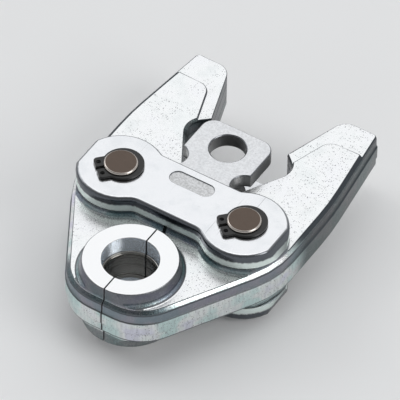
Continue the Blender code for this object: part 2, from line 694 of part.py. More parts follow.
def main():
    zinc = make_material("bright_zinc", (0.80, 0.81, 0.82), 0.30, 1.0)
    plate_zinc = make_material("satin_zinc", (0.82, 0.82, 0.82), 0.38, 1.0)
    browned = make_material("browned_steel", (0.12, 0.10, 0.09), 0.40, 0.8)
    black = make_material("black_spring_steel", (0.02, 0.02, 0.02), 0.35, 0.6)
    wire = make_material("spring_wire", (0.45, 0.45, 0.46), 0.30, 1.0)
    make_jaw("left_jaw", -1, zinc)
    make_jaw("right_jaw", 1, zinc)
    make_side_plate("top_side_plate", 1, plate_zinc)
    make_side_plate("bottom_side_plate", -1, plate_zinc)
    make_pin("left_pivot_pin", -1, browned)
    make_pin("right_pivot_pin", 1, browned)
    make_clips(black)
    make_spring(wire)
    stand_on_pins()


clear_scene()
PARTS = make_collection("press_fitting_tool_jaw")
CUTTERS = make_collection("cutters")
main()
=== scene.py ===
"""Looks of the pressing jaw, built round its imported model.

Each part of the model is shown by a finer piece with a procedural finish, and
the closing spring by two halves, each seated in its jaw. Metres, in the frame
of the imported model: +Z up, the press bore at the front (-Y) and the legs
pointing along +Y.
"""

import json
import math

import bmesh
import bpy
from bpy.props import FloatProperty, FloatVectorProperty, PointerProperty
from mathutils import Matrix, Vector
from mathutils.bvhtree import BVHTree

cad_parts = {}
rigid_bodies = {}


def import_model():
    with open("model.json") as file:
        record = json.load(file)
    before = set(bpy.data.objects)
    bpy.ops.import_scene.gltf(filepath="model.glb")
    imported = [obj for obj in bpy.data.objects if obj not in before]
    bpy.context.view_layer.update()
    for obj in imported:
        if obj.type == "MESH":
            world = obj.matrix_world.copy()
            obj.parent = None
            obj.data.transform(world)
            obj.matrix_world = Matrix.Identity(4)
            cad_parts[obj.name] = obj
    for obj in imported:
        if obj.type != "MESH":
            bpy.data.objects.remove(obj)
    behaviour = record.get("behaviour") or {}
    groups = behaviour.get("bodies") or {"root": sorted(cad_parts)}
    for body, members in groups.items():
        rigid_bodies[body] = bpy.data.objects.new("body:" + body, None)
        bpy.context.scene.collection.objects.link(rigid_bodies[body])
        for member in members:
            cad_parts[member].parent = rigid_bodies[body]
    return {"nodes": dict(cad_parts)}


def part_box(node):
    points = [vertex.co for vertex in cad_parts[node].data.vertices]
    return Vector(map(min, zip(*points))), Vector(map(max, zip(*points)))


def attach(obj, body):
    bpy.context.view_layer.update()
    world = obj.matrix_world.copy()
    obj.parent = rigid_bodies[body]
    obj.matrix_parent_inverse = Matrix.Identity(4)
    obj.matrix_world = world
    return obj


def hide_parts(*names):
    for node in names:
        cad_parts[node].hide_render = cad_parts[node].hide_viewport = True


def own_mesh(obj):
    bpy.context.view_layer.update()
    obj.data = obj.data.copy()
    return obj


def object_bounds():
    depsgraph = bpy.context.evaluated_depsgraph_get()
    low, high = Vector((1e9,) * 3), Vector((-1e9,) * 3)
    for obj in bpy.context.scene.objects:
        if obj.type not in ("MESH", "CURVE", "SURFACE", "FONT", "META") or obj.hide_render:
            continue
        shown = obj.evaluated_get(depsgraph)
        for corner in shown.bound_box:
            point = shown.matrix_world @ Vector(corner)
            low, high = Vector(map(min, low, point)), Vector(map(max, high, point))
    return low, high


bl_info = {
    "name": "Pressing jaw",
    "version": (1, 0, 0),
    "blender": (4, 5, 0),
    "location": "3D View > Sidebar > Pressing jaw",
    "description": "Builds a sprung pressing jaw for a pipe press tool, with its studio",
    "category": "Add Mesh",
}

for leftover in list(bpy.data.objects):
    bpy.data.objects.remove(leftover)

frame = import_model()
MODEL_LOW, MODEL_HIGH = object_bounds()

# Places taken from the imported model
MIDDLE_Z = (MODEL_LOW.z + MODEL_HIGH.z) / 2
PIN_LOW, PIN_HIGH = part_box("right_pivot_pin")
PIN_Y = (PIN_LOW.y + PIN_HIGH.y) / 2
BORE_AHEAD_OF_PINS = 0.0357
BORE_Y = PIN_Y - BORE_AHEAD_OF_PINS
RING_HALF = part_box("right_jaw")[1].z - MIDDLE_Z
PLATE_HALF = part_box("top_side_plate")[1].z - MIDDLE_Z

# Levels of the forged jaws, from their middle
JAW_HALF_THICKNESS = 0.0085
EDGE_SLOPE_HEIGHT = 0.0015
FLASH_HALF_HEIGHT = 0.0026
FLASH_PROUD = 0.0005
MILLED_STEP_DEPTH = 0.0008

# Edges of the jaws that are rounded: level from the middle, uprightness of the steeper
# face from and to, place that they lie behind, width
LEG_EDGES_START = PIN_Y + 0.018
ROUNDED_EDGES = (
    (JAW_HALF_THICKNESS, 0.6, 0.8, MODEL_LOW.y, 0.0004),
    (JAW_HALF_THICKNESS - EDGE_SLOPE_HEIGHT, -0.1, 0.1, MODEL_LOW.y, 0.0006),
    (JAW_HALF_THICKNESS, -0.1, 0.1, LEG_EDGES_START, 0.00045),
    (JAW_HALF_THICKNESS - MILLED_STEP_DEPTH, -0.1, 0.1, LEG_EDGES_START, 0.0003),
)
LEVEL_TOLERANCE = 0.00002
LEAST_EDGE_ANGLE = math.radians(25.0)
SLOPE_SEGMENTS = 3

# Corners of the bore's profile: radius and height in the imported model, then as shown
BORE_CORNERS = (
    (0.0115, RING_HALF, 0.01105, RING_HALF),
    (0.0109, RING_HALF - 0.0006, 0.0109, RING_HALF - 0.00015),
    (0.0109, 0.0073, 0.0109, 0.00705),
    (0.0106, 0.0069, 0.0105, 0.0069),
)
CORNER_TOLERANCE = 0.00006
MATING_FACE_REACH = 0.001

# Spring halves: gap at the cut
SPRING_CUT_GAP = 0.00001

# Copying of a part: cleaning, angles over which an edge is sharp, rounding, shading
MERGE_DISTANCE = 2e-6
FLAT_ANGLE = math.radians(0.5)
SHARP_ANGLE = 35.0
WIRE_SHARP_ANGLE = 75.0
EDGE_SEGMENTS = 2
LARGE_FACE_WEIGHT = 60

# Uprightness of the normal, 1 on level faces, between which a zone fades in
LEVEL_FACE = (0.86, 0.985)
JAW_WALL = (0.60, 0.25)
PLATE_WALL = (0.75, 0.25)

# Places between which a zone of the finish fades in
BORE_RADIUS = (0.0121, 0.0116)
BORE_MOUTH_HEIGHT = (0.0068, 0.0078)
MATING_FACE_WIDTH = (0.00045, 0.00030)
LEG_START = (PIN_Y + 0.004, PIN_Y + 0.016)
NOSE_START = (BORE_Y - 0.004, BORE_Y - 0.010)
SHEARED_RIM_START = (PIN_Y + 0.0145, PIN_Y + 0.0135)

# Pitch of the turning marks, height for which a relief of 1 stands
BORE_TURNING_PITCH = 0.00050
RING_TURNING_PITCH = 0.00045
RELIEF_UNIT = 0.00001

# Fixed colours of the jaws, painted shade and a painted highlight among them
# Painted shade: on the ring's wall, in the fillets round the pads, on the nose's slope
RING_WALL_SHADE = (0.13, 0.14, 0.15)
FILLET_SHADE_TINT = (0.17, 0.24, 0.26)
NOSE_SLOPE_SHADE = (0.10, 0.12, 0.14)
PIT_GREY = (0.24, 0.24, 0.25)
# Painted shade in thin lines along the rounded edges, the slope's foot and the flash line
EDGE_SHADE_GREY = (0.07, 0.08, 0.09)
RING_FACE_WHITE = (0.93, 0.93, 0.93)
# Painted shade inside the bore, and a painted bluish highlight at its mouth
BORE_SHADE_GREY = (0.28, 0.27, 0.25)
BORE_MOUTH_HIGHLIGHT = (0.86, 0.93, 1.0)
# Painted shade on the ring's rounded rim and on the mating faces between the jaws
RING_RIM_SHADE = (0.20, 0.20, 0.21)
MATING_FACE_SHADE = (0.22, 0.22, 0.23)

# Fixed colours of the side plates
MOTTLE_GREY = (0.74, 0.76, 0.78)
TORN_RIM_ZINC = (0.82, 0.90, 0.87)
# Painted shade on the rear walls of the plates
REAR_RIM_SHADE = (0.34, 0.34, 0.34)
BLASTED_TAB_GREY = (0.46, 0.46, 0.47)
RECESS_GREY = (0.48, 0.48, 0.48)
SPECK_GREY = (0.30, 0.30, 0.31)
LONG_MARK_GREY = (0.45, 0.45, 0.46)

# Fixed colours of pins, retaining rings and spring
PIN_GRAIN_BROWN = (0.20, 0.16, 0.14)
# Lighter chamfer: bare steel where worn, and a painted highlight
PIN_EDGE_WEAR_AND_HIGHLIGHT = (0.78, 0.72, 0.67)
RING_BLACKS = ((0.004, 0.004, 0.004), (0.012, 0.011, 0.010))
WIRE_GREYS = ((0.42, 0.42, 0.43), (0.60, 0.60, 0.61))

# Camera: angles, distance, and how its target lies from the bore
CAMERA_AZIMUTH = math.radians(31.58)
CAMERA_ELEVATION = math.radians(46.20)
CAMERA_ROLL = math.radians(1.1)
CAMERA_DISTANCE = 2.5
CAMERA_TARGET_RIGHT = 0.00698
CAMERA_TARGET_UP = 0.01066
CAMERA_TARGET_PAST_BORE = 0.035
FOCAL_PIXELS = 6673.3
IMAGE_PIXELS = 400
SENSOR_WIDTH = 36.0
CLIP_NEAR, CLIP_FAR = 0.1, 100.0

# Sky: a bright cove where the level faces reflect it to the camera, a low bright band
COVE_AZIMUTH = math.radians(211.6)
COVE_ELEVATION = math.radians(54.0)
COVE_EDGE = (0.48, 0.80)
COVE_STRENGTH = 0.81
LOW_BAND_EDGE = (0.60, 0.34)
LOW_BAND_STRENGTH = 0.60
LEAST_STRENGTH = 0.22
SKY_COLOUR = (0.97, 0.985, 1.0, 1.0)

# Lamps: azimuth and elevation in degrees, distance, width, radiance
SOFTBOXES = {
    "left_softbox": (-95.0, 34.0, 1.6, 0.9, 1.2),
    "right_softbox": (90.0, 38.0, 1.6, 0.85, 2.6),
    "overhead_softbox": (211.0, 78.0, 1.5, 0.6, 1.0),
}

FLOOR_RADIUS = 6.0
FLOOR_SIDES = 96


class Socket:
    """Output of a node. Arithmetic on it adds Math nodes."""

    def __init__(self, nodes, link):
        self.nodes = nodes
        self.link = link

    def math(self, operation, *others):
        values = dict(enumerate((self, *others)))
        return self.nodes.node("ShaderNodeMath", {"operation": operation}, values)

    def __add__(self, other):
        return self.math("ADD", other)

    def __sub__(self, other):
        return self.math("SUBTRACT", other)

    def __rsub__(self, other):
        return self.nodes.node("ShaderNodeMath", {"operation": "SUBTRACT"}, {0: other, 1: self})

    def __mul__(self, other):
        return self.math("MULTIPLY", other)

    def __abs__(self):
        return self.math("ABSOLUTE")

    __radd__ = __add__
    __rmul__ = __mul__


class Nodes:
    """A node tree that is written as Python expressions."""

    def __init__(self, tree):
        self.tree = tree
        tree.nodes.clear()

    def node(self, kind, settings=None, values=None, output=0):
        made = self.tree.nodes.new(kind)
        for name, setting in (settings or {}).items():
            setattr(made, name, setting)
        for name, value in (values or {}).items():
            if isinstance(value, Socket):
                self.tree.links.new(value.link, made.inputs[name])
            else:
                made.inputs[name].default_value = value
        return Socket(self, made.outputs[output]) if made.outputs else None

    def vector_math(self, operation, *vectors, output=0):
        return self.node("ShaderNodeVectorMath", {"operation": operation},
                         dict(enumerate(vectors)), output)

    def split(self, vector):
        node = self.node("ShaderNodeSeparateXYZ", values={0: vector}).link.node
        return [Socket(self, output) for output in node.outputs]

    def ramp(self, value, low, high):
        """0 below low, 1 above high, eased between; falls if low is above high."""
        return self.node("ShaderNodeMapRange", {"interpolation_type": "SMOOTHSTEP"},
                         {"Value": value, "From Min": low, "From Max": high})

    def band(self, value, low, high, soft):
        """1 between low and high, eased over soft on either side of both."""
        rise = self.ramp(value, low - soft, low + soft)
        return rise * self.ramp(value, high + soft, high - soft)

    def mix(self, factor, first, second, blend="MIX"):
        """Blend of two colours, each a tuple or a socket."""
        first, second = (
            colour if isinstance(colour, Socket) else (*colour, 1.0) for colour in (first, second))
        return self.node("ShaderNodeMix", {"data_type": "RGBA", "blend_type": blend},
                         {0: factor, 6: first, 7: second}, output=2)


class Finish(Nodes):
    """A material, with the surface's place and uprightness at hand."""

    def __init__(self, name):
        self.material = bpy.data.materials.new(name)
        self.material.use_nodes = True
        super().__init__(self.material.node_tree)
        self.place = self.node("ShaderNodeTexCoord", output="Object")
        normal = self.node("ShaderNodeTexCoord", output="Normal")
        self.x, self.y, self.z = self.split(self.place)
        self.upright = abs(self.split(normal)[2])

    def noise(self, size, detail=2.0, roughness=0.5, stretch=(1.0, 1.0, 1.0), turn=0.0):
        """Noise from 0 to 1 whose features are about size metres across."""
        place = self.place
        if stretch != (1.0, 1.0, 1.0) or turn:
            place = self.node("ShaderNodeMapping", values={
                "Vector": place, "Rotation": (0.0, 0.0, turn), "Scale": stretch})
        return self.node("ShaderNodeTexNoise", values={
            "Vector": place, "Scale": 1.0 / size, "Detail": detail, "Roughness": roughness})

    def spots(self, spacing, share, radius, seed=0.0):
        """Round spots in a share of the cells of a Voronoi pattern."""
        place = self.node("ShaderNodeMapping", values={
            "Vector": self.place, "Location": (seed, seed, seed)})
        cells = self.node("ShaderNodeTexVoronoi", values={
            "Vector": place, "Scale": 1.0 / spacing}).link.node
        distance = Socket(self, cells.outputs["Distance"])
        chance = self.node("ShaderNodeSeparateColor", values={
            0: Socket(self, cells.outputs["Color"])})
        chosen = self.ramp(chance, share, share - 0.02)
        return self.ramp(distance, radius / spacing, radius / spacing * 0.55) * chosen

    def shade(self, colour, roughness, relief, metallic=1.0, unit=RELIEF_UNIT):
        """Join the surface up and give the material."""
        normal = self.node("ShaderNodeBump", values={
            "Height": relief, "Distance": unit, "Strength": 1.0})
        shader = self.node("ShaderNodeBsdfPrincipled", values={
            "Base Color": colour, "Roughness": roughness, "Normal": normal, "Metallic": metallic})
        self.node("ShaderNodeOutputMaterial", values={"Surface": shader})
        return self.material


def settings():
    return bpy.context.scene.pressing_jaw


def darker(colour, share):
    return tuple(share * part for part in colour)


def jaw_zinc():
    """Bright zinc over a forged and blasted skin, machined at ring and bore; painted shade on
    walls, fillets, edges and bore, a painted highlight at the bore's mouth.
    """
    finish = Finish("jaw_zinc")
    chosen = settings()
    bright, wall_grey_and_shade = tuple(chosen.jaw_colour), tuple(chosen.wall_skin_and_shade)
    half = JAW_HALF_THICKNESS

    # Zones, each 1 where it applies and 0 elsewhere
    height = abs(finish.z - MIDDLE_Z)
    centred = finish.vector_math("SUBTRACT", finish.place, (0.0, BORE_Y, 0.0))
    level = finish.vector_math("MULTIPLY", centred, (1.0, 1.0, 0.0))
    from_bore = finish.vector_math("LENGTH", level, output="Value")
    top = finish.ramp(finish.upright, *LEVEL_FACE)
    wall = finish.ramp(finish.upright, *JAW_WALL)
    ring_face = top * finish.ramp(height, RING_HALF - 0.0012, RING_HALF - 0.0004)
    bore = finish.ramp(from_bore, *BORE_RADIUS) * (1.0 - ring_face)
    # Mouth of the bore: painted highlight there, and deeper turning marks
    mouth = finish.ramp(height, *BORE_MOUTH_HEIGHT) * bore
    forged = (1.0 - ring_face) * (1.0 - bore)
    leg = finish.ramp(finish.y, *LEG_START)
    trimmed = finish.ramp(finish.z, MIDDLE_Z + FLASH_HALF_HEIGHT + 0.0001,
                          MIDDLE_Z + FLASH_HALF_HEIGHT - 0.0001)
    trim_line = finish.band(height, FLASH_HALF_HEIGHT, FLASH_HALF_HEIGHT + FLASH_PROUD, 0.00012)
    corner = finish.band(height, half - 0.0003, half + 0.0004, 0.0001)
    corner = corner * finish.band(finish.upright, 0.80, 0.965, 0.02)
    leg_rim = leg * finish.band(finish.upright, 0.60, 0.992, 0.006)
    leg_rim = leg_rim * finish.band(height, half - 0.0012, half - 0.000005, 0.000005)
    # Painted shade on the ring's wall
    ring_wall = wall * finish.ramp(height, half + 0.0003, half + 0.0012)
    # Painted shade on the ring's rounded rim
    ring_rim = finish.ramp(height, RING_HALF - 0.0006, RING_HALF - 0.0003)
    ring_rim = ring_rim * finish.band(finish.upright, 0.30, 0.95, 0.03)
    # Painted shade on the mating faces between the jaws
    mating_shade = wall * finish.ramp(abs(finish.x), *MATING_FACE_WIDTH)
    # Painted shade in the fillets round the pads
    fillet_shade = finish.band(finish.upright, 0.30, 0.86, 0.05)
    fillet_shade = fillet_shade * finish.ramp(height, half - 0.0001, half + 0.0003)
    slope = finish.band(finish.upright, 0.50, 0.82, 0.05)
    slope = slope * finish.band(height, half - EDGE_SLOPE_HEIGHT - 0.0002, half - 0.0001, 0.0001)
    # Painted shade on the nose's slope
    nose_slope_shade = slope * finish.ramp(finish.y, *NOSE_START)
    slope_line = finish.band(finish.upright, 0.08, 0.55, 0.05)
    slope_line = slope_line * finish.band(height, half - 0.0023, half - 0.0010, 0.0001)
    slope_line = slope_line * (1.0 - leg)

    # Patterns
    mottle = finish.noise(0.007, 5.0, 0.65)
    grain = finish.noise(0.00055, 3.0, 0.65)
    streaks = finish.noise(0.0009, 3.0, 0.6, (1.0, 1.0, 0.12))
    wave = finish.noise(0.0042, 2.0, 0.45)
    tint_place = finish.noise(0.014, 3.0)
    teal = finish.ramp(tint_place, 0.45, 0.60) * (1.0 - top * 0.9)
    lavender = finish.ramp(tint_place, 0.47, 0.35) * (1.0 - top * 0.9)
    more_on_right = finish.ramp(finish.x, -0.005, 0.015) * 0.10
    clusters = finish.ramp(finish.noise(0.010, 3.0) + more_on_right, 0.42, 0.60)
    pits = finish.spots(0.0011, 0.55, 0.00030) * clusters * forged
    fine_pits = finish.spots(0.00075, 0.45, 0.00026, 0.3) * forged * (0.25 + clusters * 0.75)
    # Painted shade in thin lines: rounded top edges, leg rims, the slope's foot, the flash line
    painted_edge_shade = (corner * 0.9 + leg_rim + slope_line * 0.8 + trim_line * (1.0 - top) * 0.9) * forged

    # Colour, from the zinc up to what lies on it, painted shade and highlight among it
    colour = finish.mix(finish.ramp(mottle, 0.45, 0.75) * 0.45, bright, darker(bright, 0.84))
    # Forged walls darker: a greyer skin, and mostly painted shade
    colour = finish.mix(wall * (0.75 + grain * 0.5), colour, wall_grey_and_shade)
    colour = finish.mix(wall * trimmed * (0.4 + streaks), colour, tuple(chosen.trimmed_colour))
    # Painted shade on the walls of the legs
    colour = finish.mix(leg * (1.0 - top) * 0.9, colour, tuple(chosen.leg_wall_shade))
    # Painted shade on the ring's wall
    colour = finish.mix(ring_wall * (0.45 + grain * 0.6), colour, RING_WALL_SHADE)
    colour = finish.mix(teal, colour, tuple(chosen.teal_tint), "MULTIPLY")
    colour = finish.mix(lavender, colour, tuple(chosen.lavender_tint), "MULTIPLY")
    # Painted shade in the fillets round the pads
    colour = finish.mix(fillet_shade * (0.35 + grain * 0.9), colour, FILLET_SHADE_TINT, "MULTIPLY")
    # Painted shade on the nose's slope
    colour = finish.mix(nose_slope_shade * (0.6 + grain * 0.6), colour, NOSE_SLOPE_SHADE, "MULTIPLY")
    colour = finish.mix(pits * 0.75 + fine_pits * 0.75, colour, PIT_GREY)
    # Painted shade in thin lines along the edges
    colour = finish.mix(painted_edge_shade, colour, EDGE_SHADE_GREY)
    colour = finish.mix(ring_face, colour, RING_FACE_WHITE)
    # Painted shade inside the bore
    colour = finish.mix(bore, colour, BORE_SHADE_GREY)
    # Painted bluish highlight at the bore's mouth
    colour = finish.mix(mouth, colour, BORE_MOUTH_HIGHLIGHT)
    # Painted shade on the ring's rounded rim
    colour = finish.mix(ring_rim * 0.8, colour, RING_RIM_SHADE)
    # Painted shade on the mating faces between the jaws
    colour = finish.mix(mating_shade * 0.9, colour, MATING_FACE_SHADE)

    # Gloss and relief
    roughness = 0.15 + forged * 0.05 + grain * 0.14 * forged + wall * 0.04 + painted_edge_shade * 0.25
    turning = (finish.z * (math.tau / BORE_TURNING_PITCH)).math("SINE")
    turning = turning * (mouth * 7.0 + bore * 2.0)
    rings = (from_bore * (math.tau / RING_TURNING_PITCH)).math("SINE") * ring_face * 0.20
    relief = grain * forged * (8.0 - top * 6.9) + wave * forged * (8.0 - top * 7.2)
    relief = relief + streaks * wall * trimmed * 9.0
    relief = relief - pits * 2.6 - fine_pits * 0.8 + turning + rings
    return finish.shade(colour, roughness, relief)


def plate_zinc():
    """Satin zinc of the side plates: smooth shear band and rounded rims in painted shade, rear
    walls in painted shade, rough lower edge, blasted tab.
    """
    finish = Finish("plate_zinc")
    chosen = settings()

    # Zones, each 1 where it applies and 0 elsewhere
    height = abs(finish.z - MIDDLE_Z)
    top = finish.ramp(finish.upright, *LEVEL_FACE)
    wall = finish.ramp(finish.upright, *PLATE_WALL)
    on_plate = finish.ramp(height, PLATE_HALF - 0.0030, PLATE_HALF - 0.0020)
    face = top * finish.ramp(height, PLATE_HALF - 0.00025, PLATE_HALF - 0.00010)
    tab = top * (1.0 - on_plate)
    recess_floor = top * on_plate * (1.0 - face)
    front = finish.ramp(finish.y, *SHEARED_RIM_START)
    rim = finish.band(finish.upright, 0.20, 0.965, 0.025)

    # Patterns
    mottle = finish.noise(0.008, 5.0, 0.65)
    grain = finish.noise(0.0004, 3.0, 0.6)
    tear = finish.noise(0.0011, 3.0, 0.6, (1.0, 1.0, 0.30))
    wave = finish.noise(0.005, 2.0, 0.45)
    blasting = finish.ramp(finish.noise(0.0008, 3.0, 0.65), 0.35, 0.65)
    specks = finish.spots(0.0009, 0.22, 0.00020, 0.7)
    scratches = finish.noise(0.0012, 1.0, 0.5, (1.0, 0.035, 1.0), 0.9)
    long_marks = finish.ramp(scratches, 0.68, 0.74) * face
    ragged = height + (tear - 0.5) * 0.0012
    shear_band = wall * front * finish.ramp(ragged, PLATE_HALF - 0.0042, PLATE_HALF - 0.0032)

    # Colour, from the zinc up to what lies on it, painted shade among it
    bright = tuple(chosen.plate_colour)
    colour = finish.mix(finish.ramp(mottle, 0.42, 0.72) * 0.55, bright, MOTTLE_GREY)
    colour = finish.mix(wall * front, colour, TORN_RIM_ZINC)
    # Painted shade on the rear walls of the plates
    colour = finish.mix(wall * (1.0 - front), colour, REAR_RIM_SHADE)
    # Painted shade on the shear band and the rounded rims
    colour = finish.mix(shear_band + rim * 0.8, colour, tuple(chosen.shear_and_rim_shade))
    colour = finish.mix(tab * (0.12 + blasting * 0.38), colour, BLASTED_TAB_GREY)
    colour = finish.mix(recess_floor * (0.45 + blasting * 0.55), colour, RECESS_GREY)
    colour = finish.mix(specks * (0.20 + tab * 0.35), colour, SPECK_GREY)
    colour = finish.mix(long_marks * 0.40, colour, LONG_MARK_GREY)

    # Gloss and relief
    torn = wall * (1.0 - shear_band)
    roughness = 0.16 + grain * 0.10 + tab * 0.08 + recess_floor * 0.06 + torn * 0.28
    relief = grain * (0.9 + tab * 3.0 + recess_floor * 3.0) + tear * torn * 6.0
    relief = relief + wave * (1.2 + wall * 3.0) - long_marks * 0.8 - specks * 1.2
    return finish.shade(colour, roughness, relief)


def pin_steel():
    """Browned pin, its chamfer lighter: bare where worn, and a painted highlight."""
    finish = Finish("pin_steel")
    edge = finish.band(finish.upright, 0.30, 0.93, 0.05)
    grain = finish.noise(0.0006, 3.0, 0.6)
    mottle = finish.noise(0.004, 3.0)
    brown = tuple(settings().pin_colour)
    colour = finish.mix(mottle * 0.5, brown, darker(brown, 0.72))
    colour = finish.mix(grain * 0.30, colour, PIN_GRAIN_BROWN)
    # Lighter chamfer: bare steel where worn, and a painted highlight
    colour = finish.mix(edge * 0.8, colour, PIN_EDGE_WEAR_AND_HIGHLIGHT)
    roughness = 0.36 + grain * 0.10 - edge * 0.16
    return finish.shade(colour, roughness, grain, unit=0.000012)


def ring_black():
    """Black phosphated spring steel."""
    finish = Finish("ring_black")
    grain = finish.noise(0.0005, 2.0)
    colour = finish.mix(grain, *RING_BLACKS)
    return finish.shade(colour, 0.30 + grain * 0.15, grain, metallic=0.0)


def spring_wire():
    """Bright drawn wire with a fine grain."""
    finish = Finish("spring_wire")
    grain = finish.noise(0.0004, 3.0)
    colour = finish.mix(grain, *WIRE_GREYS)
    return finish.shade(colour, 0.24 + grain * 0.12, grain, unit=0.000008)


def floor_paint():
    """Pale matt paint of the studio floor."""
    finish = Finish("floor")
    pale = tuple(settings().floor_colour)
    colour = finish.mix(finish.noise(0.08, 3.0), pale, darker(pale, 0.97))
    return finish.shade(colour, 0.9, finish.noise(0.002), metallic=0.0)


def soften(shape, edges, width, segments):
    """Round some edges, and settle a corner that this throws out back on the surface."""
    surface = BVHTree.FromBMesh(shape)
    bmesh.ops.bevel(shape, geom=edges, offset=width, offset_type="OFFSET", affect="EDGES",
                    segments=segments, profile=0.5, material=-1, clamp_overlap=False,
                    loop_slide=True)
    for vert in shape.verts:
        spot, _, _, distance = surface.find_nearest(vert.co)
        if distance > width:
            vert.co = spot


def round_slopes(shape):
    """Round the edges of a jaw's slope, and of its leg and milled step."""
    for level, low, high, start, width in ROUNDED_EDGES:
        edges = []
        for edge in shape.edges:
            offsets = [abs(abs(vert.co.z - MIDDLE_Z) - level) for vert in edge.verts]
            upright = sorted(abs(face.normal.z) for face in edge.link_faces)
            if max(offsets) >= LEVEL_TOLERANCE or len(upright) != 2:
                continue
            if not low < upright[0] < high or min(vert.co.y for vert in edge.verts) <= start:
                continue
            if edge.is_convex and edge.calc_face_angle() > LEAST_EDGE_ANGLE:
                edges.append(edge)
        soften(shape, edges, width, SLOPE_SEGMENTS)


def sharpen_bore(shape):
    """Narrow the mouths of the press bore and level the shoulders inside it."""
    shape.normal_update()
    for vert in shape.verts:
        across, along = vert.co.x, vert.co.y - BORE_Y
        radius, height = math.hypot(across, along), abs(vert.co.z - MIDDLE_Z)
        for old_radius, old_height, new_radius, new_height in BORE_CORNERS:
            if max(abs(radius - old_radius), abs(height - old_height)) >= CORNER_TOLERANCE:
                continue
            if abs(across) > MATING_FACE_REACH:
                vert.co.x = across * new_radius / radius
                vert.co.y = BORE_Y + along * new_radius / radius
            else:
                reach = math.sqrt(new_radius ** 2 - across ** 2)
                vert.co.y = BORE_Y + math.copysign(reach, along)
            vert.co.z = MIDDLE_Z + math.copysign(new_height, vert.co.z - MIDDLE_Z)
            break


def half_of_spring(side):
    """Reshaping step that keeps one half of the spring and closes the cut wire."""
    def cut(shape):
        bmesh.ops.bisect_plane(shape, geom=[*shape.verts, *shape.edges, *shape.faces],
                               plane_co=(side * SPRING_CUT_GAP, 0.0, 0.0),
                               plane_no=(side, 0.0, 0.0), clear_inner=True)
        bmesh.ops.holes_fill(shape, edges=[edge for edge in shape.edges if edge.is_boundary])
    return cut


def dressed_copy(node, name, body, material, radius, sharp_angle=SHARP_ANGLE, reshape=()):
    """A finer piece in place of one part: merged, cleaned, its edges softened."""
    shape = bmesh.new()
    shape.from_mesh(frame["nodes"][node].data)
    bmesh.ops.remove_doubles(shape, verts=shape.verts, dist=MERGE_DISTANCE)
    bmesh.ops.dissolve_limit(shape, angle_limit=FLAT_ANGLE, verts=shape.verts, edges=shape.edges)
    for step in reshape:
        step(shape)
    limit = math.radians(sharp_angle)
    if radius > 0.0:
        sharp = [edge for edge in shape.edges if edge.calc_face_angle(0.0) > limit]
        soften(shape, sharp, radius, EDGE_SEGMENTS)
    mesh = bpy.data.meshes.new(name)
    shape.to_mesh(mesh)
    shape.free()
    mesh.materials.clear()
    mesh.materials.append(material)
    mesh.shade_smooth()
    if radius == 0.0:
        mesh.set_sharp_from_angle(angle=limit)
    piece = bpy.data.objects.new(name, mesh)
    bpy.context.scene.collection.objects.link(piece)
    level = piece.modifiers.new("level_faces", "WEIGHTED_NORMAL")
    level.mode = "FACE_AREA"
    level.weight = LARGE_FACE_WEIGHT
    level.keep_sharp = True
    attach(piece, body)
    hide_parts(node)
    return piece


class ToolJawSettings(bpy.types.PropertyGroup):
    """Sizes and colours that a user would change."""

    edge_radius: FloatProperty(
        name="Edge radius", description="Rounding of the sharp edges of jaws and plates",
        default=0.00015, min=0.0, max=0.001, unit="LENGTH")
    pin_edge_radius: FloatProperty(
        name="Pin edge radius", description="Rounding of the chamfers of the pins",
        default=0.00022, min=0.0, max=0.0005, unit="LENGTH")
    ring_edge_radius: FloatProperty(
        name="Ring edge radius", description="Rounding of the edges of the retaining rings",
        default=0.00008, min=0.0, max=0.0005, unit="LENGTH")
    jaw_colour: FloatVectorProperty(
        name="Jaw zinc", description="Zinc on the faces of the jaws",
        default=(0.90, 0.905, 0.905), min=0.0, max=1.0, size=3, subtype="COLOR")
    # Darker zinc of the forged walls: partly the greyer forged skin, mostly painted shade
    wall_skin_and_shade: FloatVectorProperty(
        name="Wall zinc", description="Zinc on the forged walls",
        default=(0.28, 0.28, 0.32), min=0.0, max=1.0, size=3, subtype="COLOR")
    trimmed_colour: FloatVectorProperty(
        name="Trimmed flash", description="Zinc on the trimmed band round the forged walls",
        default=(0.80, 0.83, 0.82), min=0.0, max=1.0, size=3, subtype="COLOR")
    # Painted shade on the walls of the legs
    leg_wall_shade: FloatVectorProperty(
        name="Leg walls", description="Duller zinc on the walls of the legs",
        default=(0.085, 0.09, 0.095), min=0.0, max=1.0, size=3, subtype="COLOR")
    plate_colour: FloatVectorProperty(
        name="Plate zinc", description="Satin zinc on the side plates",
        default=(0.86, 0.865, 0.88), min=0.0, max=1.0, size=3, subtype="COLOR")
    # Painted shade on the plates' shear band and rounded rims
    shear_and_rim_shade: FloatVectorProperty(
        name="Sheared edge", description="Smooth dark band along the edge of the side plates",
        default=(0.12, 0.13, 0.145), min=0.0, max=1.0, size=3, subtype="COLOR")
    teal_tint: FloatVectorProperty(
        name="Teal tint", description="Passivation tint in patches, mostly on the walls",
        default=(0.76, 0.91, 0.90), min=0.0, max=1.0, size=3, subtype="COLOR")
    lavender_tint: FloatVectorProperty(
        name="Lavender tint", description="Passivation tint between the teal patches",
        default=(0.88, 0.86, 0.98), min=0.0, max=1.0, size=3, subtype="COLOR")
    pin_colour: FloatVectorProperty(
        name="Pin brown", description="Browned steel of the pivot pins",
        default=(0.108, 0.082, 0.066), min=0.0, max=1.0, size=3, subtype="COLOR")
    floor_colour: FloatVectorProperty(
        name="Floor", description="Colour of the studio floor",
        default=(0.86, 0.86, 0.86), min=0.0, max=1.0, size=3, subtype="COLOR")


